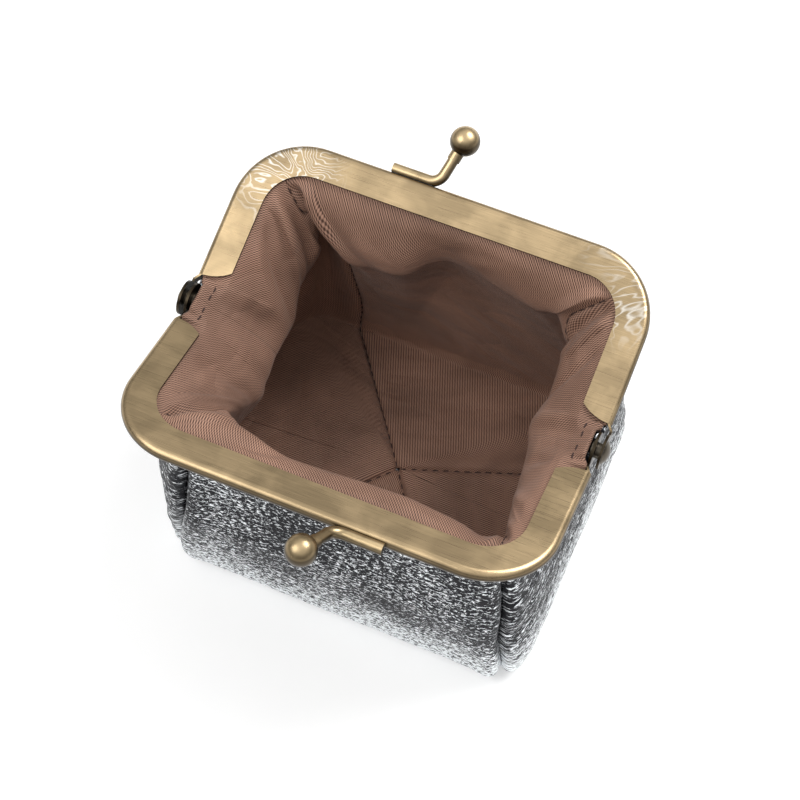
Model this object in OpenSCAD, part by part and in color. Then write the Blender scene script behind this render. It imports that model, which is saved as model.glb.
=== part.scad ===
// Kiss-lock coin purse, standing open on its flat base.
// Two pressed channel jaws swing on one rivet at each side. The leather, its
// interlining and the lining are four gores each, tucked into the channels and
// sewn together in a cross under the base.
// Millimetres. The base rests on z = 0, the hinge axis runs along X above it,
// the front jaw lies towards -Y and the back jaw towards +Y.

/* [Jaws] */
// Width of a jaw across its two legs
frame_w = 98.5; // [84:0.5:116]
// Height of a jaw from the hinge axis to its top edge
frame_h = 43.2; // [38:0.1:54]
// Thickness of one folded jaw, front to back
jaw_t = 3; // [2.8:0.1:4]
// Thickness of the pressed sheet
sheet_t = 0.6; // [0.5:0.05:0.7]
// Width of the flat band, from the fold to the mouth of the channel
band_w = 7.5; // [6.5:0.1:9]
// Outer radius of a jaw's two corners
corner_r = 16.8; // [14:0.1:20]
// Height above the hinge axis where a leg's walls end at the mouth
leg_end_mouth = 8.7; // [7.5:0.1:11]
// Height above the hinge axis where a leg's walls end at the fold
leg_end_fold = 6.3; // [5.8:0.1:7]
// Radius of the rounded end of a leg's walls
leg_end_r = 10.7; // [8:0.1:20]
// Gap between the two jaws when the purse is shut
mating_gap = 0.3; // [0.2:0.05:0.6]
// Angle from upright to which each jaw is swung out
open_angle = 73.3; // [60:0.1:78]

/* [Hinges] */
// Diameter of a jaw's round ear
ear_d = 8; // [6.5:0.1:9]
// Width of the tongue that joins an ear to its leg
tongue_w = 2.4; // [1.8:0.1:2.4]
// How deep a tongue's outer face is let into the fold's sheet
tongue_sink = 0.1; // [0.05:0.05:0.3]
// How far the inner ear is set in from its tongue
ear_joggle = 0.75; // [0.4:0.05:0.9]
// Gap between the two ears, kept open by the rivet's shoulder
ear_gap = 1.2; // [0.6:0.05:1.5]
// Length of a tongue inside its channel, over the leg's end
tongue_seat = 2; // [1.5:0.1:4]
// Height of the bend that sets an ear in or out
joggle_h = 1.4; // [1:0.1:2]
// Diameter of a rivet's shank
rivet_d = 2; // [1.6:0.1:2.6]
// Radial clearance of the shank in the ears
rivet_clearance = 0.05; // [0.02:0.01:0.1]
// Diameter of the rivet's shoulder between the ears
rivet_shoulder_d = 3.6; // [3:0.1:5]
// Diameter of a rivet's domed head
rivet_head_d = 5.4; // [4.4:0.1:6.4]
// Height of a rivet's domed head
rivet_head_h = 1.2; // [0.8:0.1:1.6]
// Diameter of the flattened tail of a rivet, inside the purse
rivet_tail_d = 3.8; // [3:0.1:4.4]
// Thickness of that tail
rivet_tail_h = 0.4; // [0.3:0.1:0.8]

/* [Clasp] */
// Diameter of a clasp ball
ball_d = 6.8; // [5.5:0.1:7.2]
// Gap between the two balls as they pass each other
ball_gap = 0.2; // [0.1:0.05:1]
// Height of a ball's centre over the top of its jaw
ball_rise = 11.2; // [9:0.1:14]
// How far a ball leans past the plane where the jaws meet
ball_lean = 1.9; // [0:0.1:3]
// Diameter of the clasp arm's rod
arm_d = 2.6; // [1.8:0.1:3]
// Distance of the foot's free end from the purse's middle
foot_end = 17.2; // [15:0.1:22]
// Radius of the bend between foot and rise, to the rod's centre line
arm_bend_r = 3.2; // [2:0.1:4]
// Angle between the foot and the rising part
arm_rise_angle = 76; // [65:1:88]
// Depth of the flat on the foot where it is soldered to the jaw
foot_flat = 0.35; // [0.1:0.05:0.5]
// Diameter of the collar under the ball
collar_d = 3; // [2.8:0.1:4]
// Height of that collar
collar_h = 2; // [0.6:0.1:2.4]
// Diameter of the tenon that holds the ball
tenon_d = 1.2; // [0.8:0.1:1.6]
// Length of the tenon inside the ball
tenon_l = 2; // [1:0.1:2.6]

/* [Bag] */
// Height of the hinge axis above the surface that the purse stands on
hinge_h = 56.5; // [50:0.5:70]
// Width of the bag at its belly
belly_w = 94; // [84:0.5:104]
// Depth of the bag at its belly, front to back
belly_d = 79; // [70:0.5:86]
// Height of the belly
belly_h = 33; // [24:0.5:38]
// Width of the bag just above the rounded bottom edge
base_w = 92.6; // [80:0.5:100]
// Depth of the bag just above the rounded bottom edge
base_d = 77; // [66:0.5:84]
// Radius of the rounded bottom edge
base_edge_r = 7; // [5:0.5:10]
// Radius of the bag's four upright corners
bag_corner_r = 10; // [8.5:0.5:14]
// Height of the free rim of a side gore above the hinge axis
rim_rise = 2.3; // [1:0.1:4]
// How far the edges of leather and lining reach into the channel
tuck = 4.3; // [3:0.1:4.6]
// How far the sheets swing inward before they turn down from the mouth
mouth_swing = 6; // [3:0.5:9]
// How far the loose lining swells inward at the left and right
side_swell = 12; // [0:0.5:14]
// How far the loose lining swells inward at the front and back
end_swell = 5.5; // [0:0.5:8]

/* [Layers] */
// Thickness of the leather
leather_t = 0.9; // [0.7:0.05:1.1]
// Thickness of the leather where it is pared down for the channel
pared_t = 0.7; // [0.5:0.05:0.7]
// Thickness of the interlining
interlining_t = 0.6; // [0.4:0.05:1]
// Thickness of the lining
lining_t = 0.4; // [0.3:0.05:0.4]
// Gap between two layers, and between two gores at their seam
layer_gap = 0.1; // [0.06:0.01:0.15]
// Gap between the soft layers and the metal
seat_gap = 0.2; // [0.15:0.01:0.25]
// Diameter of the paper cord that wedges the layers in the channel
cord_d = 1.2; // [0.8:0.1:1.2]
// Distance of the cord's end from the mouth end of a leg
cord_end_gap = 3; // [1:0.5:6]
// Distance of the sheets from a leg's end, where they leave the channel
leg_end_gap = 0.4; // [0.2:0.1:1]
// Gap between the free rim and the tails of the rivets
rim_gap = 0.3; // [0.2:0.05:0.6]

/* [Hidden] */

BRASS = [0.62, 0.53, 0.36];
DARK_BRASS = [0.30, 0.26, 0.20];
SILVER_LEATHER = [0.52, 0.53, 0.55];
FELT = [0.85, 0.84, 0.80];
TWILL = [0.50, 0.38, 0.35];
PAPER = [0.72, 0.62, 0.46];

$fn = 64;
half_w = frame_w / 2;
fold_r = jaw_t / 2;
jaw_mid = mating_gap / 2 + fold_r;
bar_half = half_w - corner_r;
corner_v = frame_h - corner_r;

// The outer faces of the tongues and of the two ears, with the front jaw's
// ear inside and the back jaw's outside
tongue_x = half_w - sheet_t + tongue_sink;
front_ear_x = tongue_x - ear_joggle;
back_ear_x = front_ear_x + sheet_t + ear_gap;
rivet_side_gap = 0.05;
rivet_head_x = back_ear_x + rivet_side_gap;
rivet_tail_x = front_ear_x - sheet_t - rivet_side_gap;

// A jaw is drawn shut: u runs along X, v up from the hinge axis and n from
// the plane where the jaws meet to the outside. The front jaw has n = -Y.
module swing_out(side) {
  translate([0, 0, hinge_h])
    rotate([-side * open_angle, 0, 0])
      rotate([0, 0, side > 0 ? 180 : 0])
        children();
}

// The folded channel seen along its length: the fold's outside at d = 0, the
// mouth at d = band_w, both walls and the mating face on the n = 0 side
module channel_profile() {
  wall_l = band_w - fold_r;
  translate([fold_r, jaw_mid])
    intersection() {
      difference() {
        circle(r = fold_r);
        circle(r = fold_r - sheet_t);
      }
      translate([-jaw_t, -jaw_t]) square([jaw_t, 2 * jaw_t]);
    }
  translate([fold_r, mating_gap / 2]) square([wall_l, sheet_t]);
  translate([fold_r, mating_gap / 2 + jaw_t - sheet_t]) square([wall_l, sheet_t]);
}

// A section drawn over d and n, swept round the jaw's outline from one leg
// end, over both corners and the bar, to the other. It is drawn for n = -Y.
module sweep_round_jaw(leg_foot) {
  for (mx = [0, 1])
    mirror([mx, 0, 0]) {
      translate([half_w, 0, leg_foot])
        linear_extrude(corner_v - leg_foot)
          mirror([1, 0]) mirror([0, 1]) children();
      translate([bar_half, 0, corner_v])
        rotate([90, 0, 0])
          rotate_extrude(angle = 90)
            translate([corner_r, 0]) mirror([1, 0]) children();
    }
  translate([-bar_half, 0, frame_h])
    rotate([90, 0, 90])
      linear_extrude(2 * bar_half)
        mirror([1, 1]) children();
}

// Centre of the arc through two points, on the side away from the hinge
function arc_centre(p, q, r) =
  let (mid = (p + q) / 2, chord = q - p, half = norm(chord) / 2)
  mid + sqrt(r * r - half * half) * [-chord[1], chord[0]] / norm(chord);

// What is cut from a leg below its rounded end
module leg_end_cut() {
  mouth_point = [half_w - band_w, leg_end_mouth];
  fold_point = [half_w, leg_end_fold];
  centre = arc_centre(mouth_point, fold_point, leg_end_r);
  below = centre[1];
  rotate([90, 0, 0])
    difference() {
      translate([half_w - 2 * band_w, 0, -jaw_t]) cube([3 * band_w, below, 3 * jaw_t]);
      translate([centre[0], centre[1], -2 * jaw_t]) cylinder(r = leg_end_r, h = 5 * jaw_t);
    }
}

// A hinge ear beside its leg: a disc about the rivet and the tongue that runs
// up inside the fold. The bend between them sets the disc at ear_x.
module ear(ear_x) {
  tongue_foot = ear_d / 2 - tongue_w;
  tongue_top = leg_end_mouth + tongue_seat;
  disc_top = leg_end_fold - joggle_h;
  side_line = [
    [ear_x, tongue_foot], [ear_x, disc_top],
    [tongue_x, leg_end_fold], [tongue_x, tongue_top],
    [tongue_x - sheet_t, tongue_top], [tongue_x - sheet_t, leg_end_fold],
    [ear_x - sheet_t, disc_top], [ear_x - sheet_t, tongue_foot]
  ];
  difference() {
    union() {
      translate([0, -jaw_mid + tongue_w / 2, 0])
        rotate([90, 0, 0])
          linear_extrude(tongue_w) polygon(side_line);
      translate([ear_x - sheet_t, 0, 0])
        rotate([0, 90, 0])
          cylinder(d = ear_d, h = sheet_t);
    }
    translate([ear_x - 2 * sheet_t, 0, 0])
      rotate([0, 90, 0])
        cylinder(r = rivet_d / 2 + rivet_clearance, h = 3 * sheet_t);
  }
}

// One jaw: the channel bent round its outline, with an ear at each leg
module jaw(side) {
  swing_out(side)
    union() {
      difference() {
        sweep_round_jaw(leg_end_fold - jaw_t / 2) channel_profile();
        for (mx = [0, 1])
          mirror([mx, 0, 0]) leg_end_cut();
      }
      for (mx = [0, 1])
        mirror([mx, 0, 0]) ear(side > 0 ? back_ear_x : front_ear_x);
    }
}

// The twisted paper cord, laid in the fold above the tucked edges
module paper_cord(side) {
  cord_foot = leg_end_mouth + cord_end_gap;
  color(PAPER)
    swing_out(side)
      sweep_round_jaw(cord_foot)
        translate([fold_r, jaw_mid]) circle(d = cord_d, $fn = 24);
}

// A rivet through both ears: domed head outside, shoulder between the ears
// and flat tail inside
module rivet(mx) {
  dome_r = (rivet_head_d * rivet_head_d / 4 + rivet_head_h * rivet_head_h) / (2 * rivet_head_h);
  shank_l = rivet_head_x - rivet_tail_x;
  color(DARK_BRASS)
    translate([0, 0, hinge_h])
      mirror([mx, 0, 0])
        rotate([0, 90, 0]) {
          translate([0, 0, rivet_tail_x - rivet_tail_h])
            cylinder(d = rivet_tail_d, h = rivet_tail_h);
          translate([0, 0, rivet_tail_x])
            cylinder(d = rivet_d, h = shank_l);
          translate([0, 0, front_ear_x + rivet_side_gap])
            cylinder(d = rivet_shoulder_d, h = ear_gap - 2 * rivet_side_gap);
          translate([0, 0, rivet_head_x])
            intersection() {
              translate([0, 0, rivet_head_h - dome_r]) sphere(r = dome_r);
              cylinder(d = rivet_head_d, h = 2 * rivet_head_h);
            }
        }
}

// The clasp arm lies in a plane that leans over the foot's axis. In it, p
// runs from the foot's free end to the purse's middle and w up to the ball.
solder_gap = 0.05;
foot_v = frame_h + solder_gap + arm_d / 2 - foot_flat;
arm_lean = atan2(jaw_mid + ball_lean, frame_h + ball_rise - foot_v);
ball_p = foot_end - (ball_d + ball_gap) / 2;
ball_w = norm([jaw_mid + ball_lean, frame_h + ball_rise - foot_v]);
rise_l = (ball_w - arm_bend_r * (1 - cos(arm_rise_angle))) / sin(arm_rise_angle);
foot_l = ball_p - arm_bend_r * sin(arm_rise_angle) - rise_l * cos(arm_rise_angle);
collar_top = rise_l - sqrt(ball_d * ball_d - collar_d * collar_d) / 2;

// Puts p and w on the shut front jaw. The front clasp stands on the +X side.
module on_arm_plane() {
  translate([foot_end, -jaw_mid, foot_v])
    rotate([-arm_lean, 0, 0])
      rotate([90, 0, 0])
        mirror([1, 0, 0])
          children();
}

// Puts z along the rising part, with z = 0 where the bend ends
module on_rise() {
  bend_end = [foot_l + arm_bend_r * sin(arm_rise_angle), arm_bend_r * (1 - cos(arm_rise_angle)), 0];
  translate(bend_end)
    rotate([0, 0, arm_rise_angle])
      rotate([0, 90, 0])
        children();
}

// A bent rod: flat-bottomed foot, bend, rise, collar and tenon. The rise is
// a little thinner than the bend, so that the two join on a clean circle.
module clasp_arm(side) {
  bend_overlap = 0.05;
  rise_d = arm_d - 0.04;
  color(BRASS)
    swing_out(side)
      difference() {
        on_arm_plane() {
          rotate([0, 90, 0]) cylinder(d = arm_d, h = foot_l);
          translate([foot_l, arm_bend_r, 0])
            rotate([0, 0, -90])
              rotate_extrude(angle = arm_rise_angle)
                translate([arm_bend_r, 0]) circle(d = arm_d);
          on_rise() {
            translate([0, 0, -bend_overlap])
              cylinder(d = rise_d, h = collar_top - collar_h + bend_overlap);
            translate([0, 0, collar_top - collar_h]) cylinder(d = collar_d, h = collar_h);
            translate([0, 0, collar_top]) cylinder(d = tenon_d, h = tenon_l);
          }
        }
        translate([0, -2 * jaw_t, frame_h + solder_gap - arm_d])
          cube([frame_w, 4 * jaw_t, arm_d]);
      }
}

// The ball, seated flat on the collar with a blind hole for the tenon
module clasp_ball(side) {
  tenon_clearance = 0.04;
  color(BRASS)
    swing_out(side)
      on_arm_plane()
        on_rise()
          difference() {
            translate([0, 0, rise_l]) sphere(d = ball_d);
            cylinder(r = collar_d, h = collar_top);
            cylinder(r = tenon_d / 2 + tenon_clearance, h = collar_top + tenon_l + tenon_clearance);
          }
}

// Stations of the soft layers in one quarter, from the middle of the bar to
// the hinge: the bar, the two halves of the corner, the leg and the gap
bar_steps = 3;
corner_steps = 4;
leg_steps = 2;
gap_steps = 2;
corner_at = bar_steps;
leg_at = corner_at + corner_steps;
gap_at = leg_at + leg_steps;
quarter = gap_at + gap_steps;
seam_at = corner_at + corner_steps / 2;
seam_cut = layer_gap / 8;

// Where the sheets leave the channel near the hinge, and the gap's rim
leg_last_v = leg_end_fold - leg_end_gap;
rim_x = rivet_tail_x - rivet_tail_h - rim_gap;

// A layer's face is [n in the channel, distance inside the leather's outside,
// share of the lining's swell]. The interlining is wedge-cut at its top edge.
top_half_t = 0.05;
leather_out_n = mating_gap / 2 + jaw_t - sheet_t - seat_gap;
leather_in_n = leather_out_n - pared_t;
lining_in_n = mating_gap / 2 + sheet_t + seat_gap;
lining_out_n = lining_in_n + lining_t;
between_n = (leather_in_n + lining_out_n) / 2;
interlining_o = leather_t + layer_gap;
lining_o = interlining_o + interlining_t + layer_gap;
LEATHER = [[leather_out_n, 0, 0], [leather_in_n, leather_t, 0]];
INTERLINING = [
  [between_n + top_half_t, interlining_o, 0],
  [between_n - top_half_t, interlining_o + interlining_t, 0]
];
LINING = [[lining_out_n, lining_o, 1], [lining_in_n, lining_o + lining_t, 1]];

// Station g counts round the whole purse. i is its place in the quarter.
function turn(g) = g - 4 * quarter * floor(g / (4 * quarter));
function in_quarter(g) =
  let (t = turn(g))
  t <= quarter ? t : t <= 2 * quarter ? 2 * quarter - t
  : t <= 3 * quarter ? t - 2 * quarter : 4 * quarter - t;
function x_side(g) = turn(g) <= 2 * quarter ? 1 : -1;
function y_side(g) = let (t = turn(g)) t > quarter && t <= 3 * quarter ? 1 : -1;
function corner_turn(i) = 90 * min(1, max(0, (i - corner_at) / corner_steps));

// Point of the open jaw from u, v and n, for the quarter with x and y above 0
function jaw_point(u, v, n) = [
  u,
  v * sin(open_angle) + n * cos(open_angle),
  hinge_h + v * cos(open_angle) - n * sin(open_angle)
];

// Point on the jaw's outline, d in from the outside of the fold
function outline_point(i, d, n) =
  i <= corner_at ? jaw_point(bar_half * i / bar_steps, frame_h - d, n)
  : i <= leg_at ? jaw_point(
      bar_half + (corner_r - d) * sin(corner_turn(i)),
      corner_v + (corner_r - d) * cos(corner_turn(i)), n)
  : jaw_point(half_w - d, corner_v + (leg_last_v - corner_v) * (i - leg_at) / leg_steps, n);

// Free rim between the legs, depth below the rim and o inside the leather
function gap_point(i, depth, face) =
  let (
    share = (i - gap_at) / gap_steps,
    leg_y = jaw_point(0, leg_last_v, face[0])[1],
    leg_z = jaw_point(0, leg_last_v, face[0])[2]
  )
  [rim_x - face[1], leg_y * (1 - share),
    leg_z + (hinge_h + rim_rise - leg_z) * sin(90 * share) - depth];

// Level loop of the bag: half width a, half depth b, corner radius c
function loop_point(i, a, b, c, z) =
  i <= corner_at ? [(a - c) * i / bar_steps, b, z]
  : i <= leg_at ? [a - c + c * sin(corner_turn(i)), b - c + c * cos(corner_turn(i)), z]
  : [a, (b - c) * (quarter - i) / (quarter - leg_at), z];

// Curve from p to q that starts along s and ends along t
function curve_point(p, s, q, t, k) =
  (2 * k * k * k - 3 * k * k + 1) * p + (k * k * k - 2 * k * k + k) * s
  + (3 * k * k - 2 * k * k * k) * q + (k * k * k - k * k) * t;

// The curve's first direction: inward from the mouth and out of the jaw
swing_angle = 30;
function mouth_direction(i) =
  i > gap_at ? [0, 0, -1]
  : let (
      turned = corner_turn(i),
      inward = jaw_point(-sin(turned), -cos(turned), 0) - jaw_point(0, 0, 0),
      outward = jaw_point(0, 0, 1) - jaw_point(0, 0, 0)
    )
    cos(swing_angle) * inward + sin(swing_angle) * outward;

// Rows run from the tucked edge through the mouth, down to the belly, round
// the bottom edge and in to the middle of the base
belly_row = 6;
edge_steps = 2;
floor_row = belly_row + 1 + edge_steps;
last_row = floor_row + 2;
centre_share = 0.012;
INNER_ROWS = [0.5, centre_share];

function mouth_point(i, depth, face) =
  i > gap_at ? gap_point(i, depth, face) : outline_point(i, band_w - tuck + depth, face[0]);

function wall_point(i, k, face) =
  curve_point(
    mouth_point(i, tuck, face), mouth_swing * mouth_direction(i),
    loop_point(i, belly_w / 2 - face[1], belly_d / 2 - face[1], bag_corner_r - face[1], belly_h),
    [0, 0, -hinge_h / 3], k);

// The loose lining's inward swell: its share at each row down to the belly,
// and its depth, which grows from the front or back to the sides
SWELL_ROWS = [0, 0, 0.3, 0.65, 0.95, 1, 0.85];
function swell_offset(i, r, face) =
  let (
    turned = corner_turn(i),
    depth = end_swell + (side_swell - end_swell) * (1 - cos(turned))
  )
  r > belly_row ? [0, 0, 0]
  : face[2] * SWELL_ROWS[r] * depth * [-sin(turned), -cos(turned), 0];

// Bottom edge, turned from 0 at the wall to 90 at the floor, then shrunk
function base_point(i, bend, share, face) =
  let (
    e = base_edge_r - face[1],
    in = e * (1 - cos(bend)),
    corner = bag_corner_r - face[1] - in,
    p = loop_point(i, base_w / 2 - face[1] - in, base_d / 2 - face[1] - in, corner, 0)
  )
  [share * p[0], share * p[1], base_edge_r - e * sin(bend)];

function sheet_point(i, r, face) =
  r == 0 ? mouth_point(i, 0, face)
  : r <= belly_row ? wall_point(i, (r - 1) / (belly_row - 1), face) + swell_offset(i, r, face)
  : r <= floor_row ? base_point(i, 90 * (r - belly_row - 1) / edge_steps, 1, face)
  : base_point(i, 90, INNER_ROWS[r - floor_row - 1], face);

function round_point(g, r, face) =
  let (p = sheet_point(in_quarter(g), r, face))
  [x_side(g) * p[0], y_side(g) * p[1], p[2]];

// Two triangles for each cell of a grid with the given corner numbers
function cell(a, b, c, d) = [[a, b, c], [a, c, d]];

// One gore of one layer, closed, between two stations and from a first row
module gore(from, to, faces, first_row) {
  stations = [from + seam_cut, for (g = [ceil(from + seam_cut) : floor(to - seam_cut)]) g, to - seam_cut];
  rows = [first_row : last_row];
  ns = len(stations);
  nr = last_row - first_row + 1;
  points = [for (f = faces) for (g = stations) for (r = rows) round_point(g, r, f)];
  function out_no(s, r) = s * nr + r;
  function in_no(s, r) = (ns + s) * nr + r;
  cells = [
    for (s = [0 : ns - 2]) each [
      for (r = [0 : nr - 2]) each concat(
        cell(out_no(s, r), out_no(s + 1, r), out_no(s + 1, r + 1), out_no(s, r + 1)),
        cell(in_no(s, r), in_no(s, r + 1), in_no(s + 1, r + 1), in_no(s + 1, r))),
      each cell(out_no(s, 0), in_no(s, 0), in_no(s + 1, 0), out_no(s + 1, 0)),
      each cell(out_no(s, nr - 1), out_no(s + 1, nr - 1), in_no(s + 1, nr - 1), in_no(s, nr - 1))
    ],
    for (r = [0 : nr - 2]) each concat(
      cell(in_no(0, r), out_no(0, r), out_no(0, r + 1), in_no(0, r + 1)),
      cell(out_no(ns - 1, r), in_no(ns - 1, r), in_no(ns - 1, r + 1), out_no(ns - 1, r + 1)))
  ];
  polyhedron(points, cells);
}

// The four gores in turn: 0 front, 1 right, 2 back, 3 left
module side_gore(which, faces, first_row) {
  seams = [-seam_at, seam_at, 2 * quarter - seam_at, 2 * quarter + seam_at, 4 * quarter - seam_at];
  gore(seams[which], seams[which + 1], faces, first_row);
}

module leather(which) { color(SILVER_LEATHER) side_gore(which, LEATHER, 0); }
module interlining(which) { color(FELT) side_gore(which, INTERLINING, 2); }
module lining(which) { color(TWILL) side_gore(which, LINING, 0); }

color(BRASS) jaw(-1);  // front_jaw
color(BRASS) jaw(1);  // back_jaw
paper_cord(-1);  // front_paper_cord
paper_cord(1);  // back_paper_cord
rivet(1);  // left_rivet
rivet(0);  // right_rivet
clasp_arm(-1);  // front_clasp_arm
clasp_arm(1);  // back_clasp_arm
clasp_ball(-1);  // front_clasp_ball
clasp_ball(1);  // back_clasp_ball
leather(0);  // leather_front
leather(1);  // leather_right
leather(2);  // leather_back
leather(3);  // leather_left
interlining(0);  // interlining_front
interlining(1);  // interlining_right
interlining(2);  // interlining_back
interlining(3);  // interlining_left
lining(0);  // lining_front
lining(1);  // lining_right
lining(2);  // lining_back
lining(3);  // lining_left
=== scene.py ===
"""Looks of the kiss-lock coin purse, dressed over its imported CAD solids.

Lengths below are millimetres in the row frame, and become metres where a mesh
is made. The bag is two families of gores, leather outside and lining inside,
each one a grid over stations (round the mouth) and rows (mouth, wall, base).
"""
import math

import bpy
import numpy as np
from mathutils import Matrix, Vector


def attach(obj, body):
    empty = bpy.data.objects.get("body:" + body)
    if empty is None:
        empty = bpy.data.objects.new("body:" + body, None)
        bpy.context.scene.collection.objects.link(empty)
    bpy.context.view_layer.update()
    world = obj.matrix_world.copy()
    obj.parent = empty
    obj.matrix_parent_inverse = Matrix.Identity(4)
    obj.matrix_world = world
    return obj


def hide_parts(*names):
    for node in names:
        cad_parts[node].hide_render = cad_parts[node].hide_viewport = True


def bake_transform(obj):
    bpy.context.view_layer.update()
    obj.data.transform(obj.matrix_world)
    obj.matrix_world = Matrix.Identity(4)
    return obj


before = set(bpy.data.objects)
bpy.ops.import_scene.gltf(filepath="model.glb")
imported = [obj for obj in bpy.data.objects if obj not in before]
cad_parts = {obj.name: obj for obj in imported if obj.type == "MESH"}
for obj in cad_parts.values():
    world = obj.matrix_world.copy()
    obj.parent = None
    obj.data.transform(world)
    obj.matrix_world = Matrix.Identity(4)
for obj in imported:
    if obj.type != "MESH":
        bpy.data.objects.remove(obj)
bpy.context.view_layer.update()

MM = 0.001

# ---------------------------------------------------------------- sizes
# The frame: half width, height over the hinge axis, a jaw's thickness and its
# sheet's, the flat band, the corner, and the gap between the shut jaws
HALF_W, FRAME_H, JAW_T, SHEET = 49.25, 43.2, 3.0, 0.6
BAND, CORNER_R, GAP = 7.5, 16.8, 0.3
# A jaw's tilt at rest, the axis over the floor, and where the cloth leaves a leg
OPEN = math.radians(73.3)
HINGE = 56.5
LEG_END = 5.9
# How far the cloth's edge reaches into the channel, and its play there
TUCK, PLAY = 4.3, 0.2
BAR_HALF = HALF_W - CORNER_R
CORNER_V = FRAME_H - CORNER_R

# Stations, as in the CAD source: bar to 3, corner to 7, leg to 9, free rim to 11
BAR, CORNER, LEG, QUARTER = 3.0, 7.0, 9.0, 11.0


# ---------------------------------------------------------------- helpers
def smooth(x):
    x = np.clip(x, 0, 1)
    return x * x * (3 - 2 * x)


def bump(x, centre, width):
    return np.exp(-(((x - centre) / width) ** 2))


def fold_station(g):
    """Place in the first quarter, and the signs of x and y there."""
    t = np.mod(g, 4 * QUARTER)
    i = np.where(t <= QUARTER, t, np.where(t <= 2 * QUARTER, 2 * QUARTER - t,
                 np.where(t <= 3 * QUARTER, t - 2 * QUARTER, 4 * QUARTER - t)))
    sx = np.where(t <= 2 * QUARTER, 1.0, -1.0)
    sy = np.where((t > QUARTER) & (t <= 3 * QUARTER), 1.0, -1.0)
    return i, sx, sy


def jaw_point(u, v, n):
    """Point of the open jaw: across, up from the axis and out of its face."""
    return np.stack([u + 0 * v,
                     v * math.sin(OPEN) + n * math.cos(OPEN) + 0 * u,
                     HINGE + v * math.cos(OPEN) - n * math.sin(OPEN) + 0 * u], -1)


def corner_turn(i):
    """Angle turned at a station: 0 along the bar, a quarter past the corner."""
    return np.radians(90 * np.clip((i - BAR) / (CORNER - BAR), 0, 1))


def outline(i, d, n):
    """Point of the open jaw, d in from the fold's outside, first quarter."""
    turn = corner_turn(i)
    u = np.where(i <= BAR, BAR_HALF * i / BAR, BAR_HALF + (CORNER_R - d) * np.sin(turn))
    v = np.where(i <= BAR, FRAME_H - d, CORNER_V + (CORNER_R - d) * np.cos(turn))
    leg = np.clip((i - CORNER) / (LEG - CORNER), 0, 1)
    u = np.where(i > CORNER, HALF_W - d, u)
    v = np.where(i > CORNER, CORNER_V + (LEG_END - CORNER_V) * leg, v)
    return jaw_point(u, v, n)


def loop(i, a, b, c, z):
    """Level loop with half sizes a and b and corner radius c, first quarter."""
    turn = corner_turn(i)
    x = np.where(i <= BAR, (a - c) * i / BAR, a - c + c * np.sin(turn))
    y = np.where(i <= BAR, b, b - c + c * np.cos(turn))
    x = np.where(i > CORNER, a, x)
    y = np.where(i > CORNER, (b - c) * (QUARTER - i) / (QUARTER - CORNER), y)
    return np.stack([x, y, z + 0 * x], -1)


def hermite(p, s, q, t, k):
    """Cubic from p, leaving along s, to q, arriving along t, at share k."""
    k = np.asarray(k)[..., None]
    return ((2 * k**3 - 3 * k**2 + 1) * p + (k**3 - 2 * k**2 + k) * s
            + (3 * k**2 - 2 * k**3) * q + (k**3 - k**2) * t)


def around(table, g):
    """Periodic smooth curve through rows of (station, value, value...)."""
    table = np.array(table, float)
    n = 4 * QUARTER
    st = np.concatenate([table[:, 0] - n, table[:, 0], table[:, 0] + n])
    va = np.concatenate([table[:, 1:]] * 3)
    slope = np.zeros_like(va)
    slope[1:-1] = (va[2:] - va[:-2]) / (st[2:] - st[:-2])[:, None]
    g = np.mod(g, n)
    j = np.clip(np.searchsorted(st, g) - 1, 0, len(st) - 2)
    h = st[j + 1] - st[j]
    k = (g - st[j]) / h
    return hermite(va[j], slope[j] * h[..., None], va[j + 1], slope[j + 1] * h[..., None], k)


def grid_normals(p):
    """Unit normals of a grid of points, pointing away from the purse's middle."""
    du = np.gradient(p, axis=0)
    dv = np.gradient(p, axis=1)
    n = np.cross(du, dv)
    n /= np.maximum(np.linalg.norm(n, axis=-1, keepdims=True), 1e-9)
    away = p - np.array([0, 0, 40.0])
    sign = np.sign(np.nansum(n * away, axis=(0, 1, 2)))
    return n * (sign if sign else 1)


def soft_noise(x, y, scale, seed, octaves=3):
    """Smooth value noise over two arrays, about -1 to 1."""
    total, amp, norm = 0, 1.0, 0
    for o in range(octaves):
        r = np.random.default_rng(seed + o)
        lattice = r.uniform(-1, 1, (64, 64))
        u, v = x / scale * 2**o + 17.3, y / scale * 2**o + 9.1
        iu, iv = np.floor(u).astype(int), np.floor(v).astype(int)
        fu, fv = smooth(u - iu), smooth(v - iv)
        a, b = lattice[iu % 64, iv % 64], lattice[(iu + 1) % 64, iv % 64]
        c, d = lattice[iu % 64, (iv + 1) % 64], lattice[(iu + 1) % 64, (iv + 1) % 64]
        total = total + amp * ((a * (1 - fu) + b * fu) * (1 - fv) + (c * (1 - fu) + d * fu) * fv)
        norm += amp
        amp *= 0.5
    return total / norm


def cloth_uv(p, centre):
    """Flat cloth coordinates in metres: across, measured along each row from
    the gore's centre line, and down that line."""
    step = np.linalg.norm(np.diff(p, axis=0, prepend=p[:1]), axis=-1)
    across = np.cumsum(step, axis=0)
    across = across - across[centre][None]
    down = np.cumsum(np.linalg.norm(np.diff(p[centre], axis=0, prepend=p[centre][:1]), axis=-1))
    return np.stack([across, np.broadcast_to(down, across.shape)], -1) * MM


def smooth_mesh(name, verts, faces, uv=None):
    me = bpy.data.meshes.new(name)
    me.from_pydata(verts, [], faces)
    if uv is not None:
        layer = me.uv_layers.new(name="cloth")
        layer.data.foreach_set("uv", uv.astype(np.float32).ravel())
    me.polygons.foreach_set("use_smooth", [True] * len(me.polygons))
    me.update()
    ob = bpy.data.objects.new(name, me)
    bpy.context.scene.collection.objects.link(ob)
    return ob


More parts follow.
